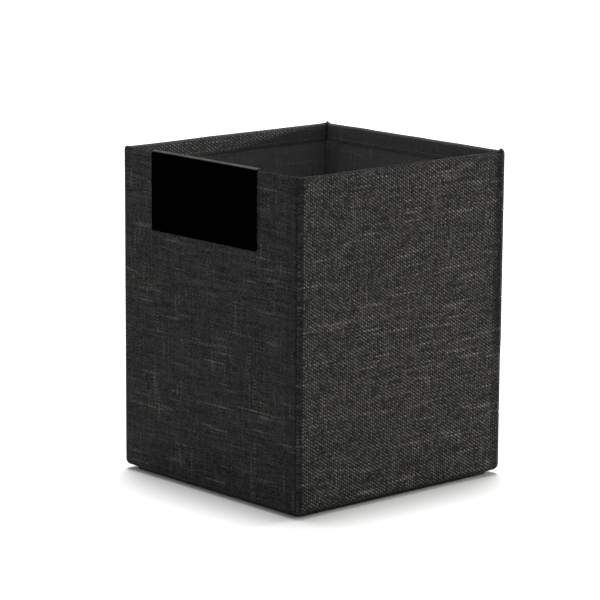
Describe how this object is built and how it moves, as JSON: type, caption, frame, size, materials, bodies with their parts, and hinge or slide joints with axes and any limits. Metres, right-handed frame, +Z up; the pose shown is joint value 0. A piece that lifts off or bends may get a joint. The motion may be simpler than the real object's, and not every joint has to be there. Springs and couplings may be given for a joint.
{
  "type": "fabric storage box",
  "caption": "Tall open-top storage box of dark slubby woven cloth over board walls, with a lined inside, an inset base, a loose floor board and a blank label clip on the rim.",
  "frame": {"origin": "centre of the flat underside of the base pad, level with what the box stands on", "axes": "+Z up to the open rim; the front wall, which carries the label clip, faces -Y; +X is to the right seen from the front"},
  "size_m": [0.265, 0.2765, 0.3324],
  "materials": {
    "woven_cloth": "coarse slubby plain weave, charcoal",
    "greyboard": "raw grey board",
    "lining": "matt charcoal lining cloth and nonwoven",
    "sewing_thread": "matte polyester thread",
    "label_sheet": "matte black powder coat"
  },
  "bodies": {
    "box": {"front_cover": "woven_cloth", "right_cover": "woven_cloth", "back_cover": "woven_cloth", "left_cover": "woven_cloth", "front_board": "greyboard", "right_board": "greyboard", "back_board": "greyboard", "left_board": "greyboard", "front_lining": "lining", "right_lining": "lining", "back_lining": "lining", "left_lining": "lining", "bottom_lining": "lining", "front_left_seam_allowance": "lining", "front_right_seam_allowance": "lining", "back_right_seam_allowance": "lining", "back_left_seam_allowance": "lining", "corner_overlock_thread": "sewing_thread", "hem_thread": "sewing_thread", "base_pad_wrap": "lining", "base_pad_board": "greyboard"},
    "floor_board": {"floor_board_wrap": "lining", "floor_board_core": "greyboard"},
    "label_clip": {"label_clip": "label_sheet"}
  },
  "joints": [
    {"name": "floor_board_lift", "type": "slide", "parent": "box", "child": "floor_board", "axis": [0, 0, 1], "range_m": [0, 0.34]},
    {"name": "label_clip_lift", "type": "slide", "parent": "box", "child": "label_clip", "axis": [0, 0, 1], "range_m": [0, 0.09]}
  ]
}
